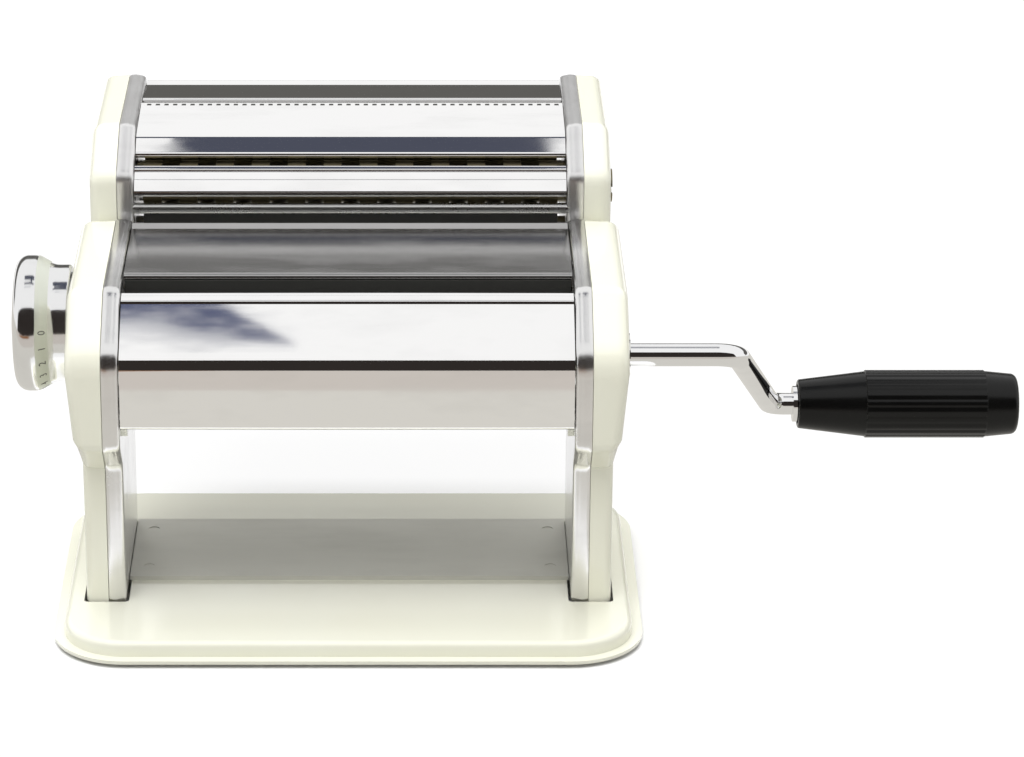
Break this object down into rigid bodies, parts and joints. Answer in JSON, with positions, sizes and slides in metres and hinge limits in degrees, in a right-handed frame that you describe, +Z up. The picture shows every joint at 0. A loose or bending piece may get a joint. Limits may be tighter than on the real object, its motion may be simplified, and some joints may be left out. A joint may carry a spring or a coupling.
{
  "type": "hand-cranked pasta roller",
  "caption": "Hand-cranked pasta sheet roller with cream base and covers, chrome side plates, thickness knob, Z-bent crank with black grip, and a strip cutter hung behind.",
  "frame": {"origin": "middle of the base at the height of the table", "axes": "+X along the rollers towards the crank, -Y towards the front, +Z up"},
  "size_m": [0.362, 0.2158, 0.1471],
  "materials": {
    "cream_paint": "gloss",
    "chrome_plate": "polished",
    "knob_chrome": "polished",
    "polished_sheet": "polished",
    "grey_plate": "satin",
    "pad_rubber": "matt",
    "roller_steel": "polished",
    "crank_chrome": "polished",
    "zinc_steel": "satin",
    "gear_steel": "satin",
    "scraper_steel": "satin",
    "cast_zinc": "matt",
    "bush_bronze": "satin",
    "spring_steel": "satin",
    "cutter_alloy": "satin",
    "grip_plastic": "satin"
  },
  "bodies": {
    "frame": {"adjuster_bushes": "bush_bronze", "base_plate": "cream_paint", "base_screws": "zinc_steel", "cover_screws": "zinc_steel", "cross_plate": "grey_plate", "front_cover": "polished_sheet", "front_scraper": "scraper_steel", "hanger_bar": "zinc_steel", "hanger_brackets": "zinc_steel", "index_plate": "zinc_steel", "left_side_cover": "cream_paint", "left_side_plate": "chrome_plate", "rear_panel": "polished_sheet", "right_side_cover": "cream_paint", "right_side_plate": "chrome_plate", "roller_bushes": "bush_bronze", "rubber_feet": "pad_rubber", "tie_rod_screws": "zinc_steel", "tie_rods": "zinc_steel", "top_plate": "polished_sheet"},
    "drive_roller": {"front_roller": "roller_steel", "drive_gear": "gear_steel"},
    "crank": {"crank_rod": "crank_chrome", "crank_pin": "crank_chrome", "grip_washer": "zinc_steel", "grip_retainer": "zinc_steel"},
    "handle": {"grip": "grip_plastic"},
    "adjuster": {"left_eccentric": "cast_zinc", "right_eccentric": "cast_zinc", "link_rod": "zinc_steel", "knob_screw": "zinc_steel", "knob_spring": "spring_steel"},
    "knob": {"thickness_knob": "knob_chrome", "knob_cap": "knob_chrome"},
    "scraper_cradle": {"rear_scraper": "scraper_steel"},
    "rear_roller": {"rear_roller": "roller_steel", "driven_gear": "gear_steel"},
    "cutter_unit": {"cutter_left_plate": "chrome_plate", "cutter_right_plate": "chrome_plate", "cutter_left_cap": "cream_paint", "cutter_right_cap": "cream_paint", "cutter_front_plate": "polished_sheet", "cutter_middle_plate": "polished_sheet", "cutter_rear_plate": "polished_sheet", "cutter_tie_rods": "zinc_steel", "cutter_rod_screws": "zinc_steel", "cutter_bushes": "bush_bronze", "wide_comb": "scraper_steel", "fine_comb": "scraper_steel"},
    "wide_front": {"wide_cutter_front": "cutter_alloy", "wide_gear_front": "gear_steel"},
    "wide_rear": {"wide_cutter_rear": "cutter_alloy", "wide_gear_rear": "gear_steel"},
    "fine_front": {"fine_cutter_front": "cutter_alloy", "fine_gear_front": "gear_steel"},
    "fine_rear": {"fine_cutter_rear": "cutter_alloy", "fine_gear_rear": "gear_steel"}
  },
  "joints": [
    {"name": "drive_spin", "type": "hinge", "parent": "frame", "child": "drive_roller", "pos_m": [0, -0.0194, 0.0963], "axis": [1, 0, 0], "continuous": true},
    {"name": "crank_pull", "type": "slide", "parent": "drive_roller", "child": "crank", "axis": [1, 0, 0], "range_m": [0, 0.03]},
    {"name": "grip_spin", "type": "hinge", "parent": "crank", "child": "handle", "pos_m": [0.2035, 0.0556, 0.0472], "axis": [1, 0, 0], "continuous": true},
    {"name": "adjust_turn", "type": "hinge", "parent": "frame", "child": "adjuster", "pos_m": [0, 0.0077, 0.09772], "axis": [-1, 0, 0], "range_deg": [0, 135]},
    {"name": "knob_pull", "type": "slide", "parent": "adjuster", "child": "knob", "axis": [-1, 0, 0], "range_m": [0, 0.004], "stiffness_N_per_m": 1500, "springref_m": -0.004, "deforming": ["knob_spring"]},
    {"name": "cradle_level", "type": "hinge", "parent": "adjuster", "child": "scraper_cradle", "pos_m": [0, 0.0096, 0.09693], "axis": [-1, 0, 0], "range_deg": [-135, 0]},
    {"name": "rear_roller_spin", "type": "hinge", "parent": "scraper_cradle", "child": "rear_roller", "pos_m": [0, 0.0096, 0.09693], "axis": [1, 0, 0], "continuous": true},
    {"name": "cutter_lift", "type": "slide", "parent": "frame", "child": "cutter_unit", "axis": [0, 0, 1], "range_m": [0, 0.06]},
    {"name": "wide_spin", "type": "hinge", "parent": "cutter_unit", "child": "wide_front", "pos_m": [0, 0.0685, 0.1275], "axis": [1, 0, 0], "continuous": true},
    {"name": "wide_rear_spin", "type": "hinge", "parent": "cutter_unit", "child": "wide_rear", "pos_m": [0, 0.083, 0.1275], "axis": [1, 0, 0], "continuous": true},
    {"name": "fine_spin", "type": "hinge", "parent": "cutter_unit", "child": "fine_rear", "pos_m": [0, 0.123, 0.131], "axis": [1, 0, 0], "continuous": true},
    {"name": "fine_front_spin", "type": "hinge", "parent": "cutter_unit", "child": "fine_front", "pos_m": [0, 0.1085, 0.131], "axis": [1, 0, 0], "continuous": true}
  ],
  "couplings": [
    {"joint": "cradle_level", "follows": "adjust_turn", "ratio": -1},
    {"joint": "rear_roller_spin", "follows": "drive_spin", "ratio": -1},
    {"joint": "wide_rear_spin", "follows": "wide_spin", "ratio": -1},
    {"joint": "fine_front_spin", "follows": "fine_spin", "ratio": -1}
  ]
}
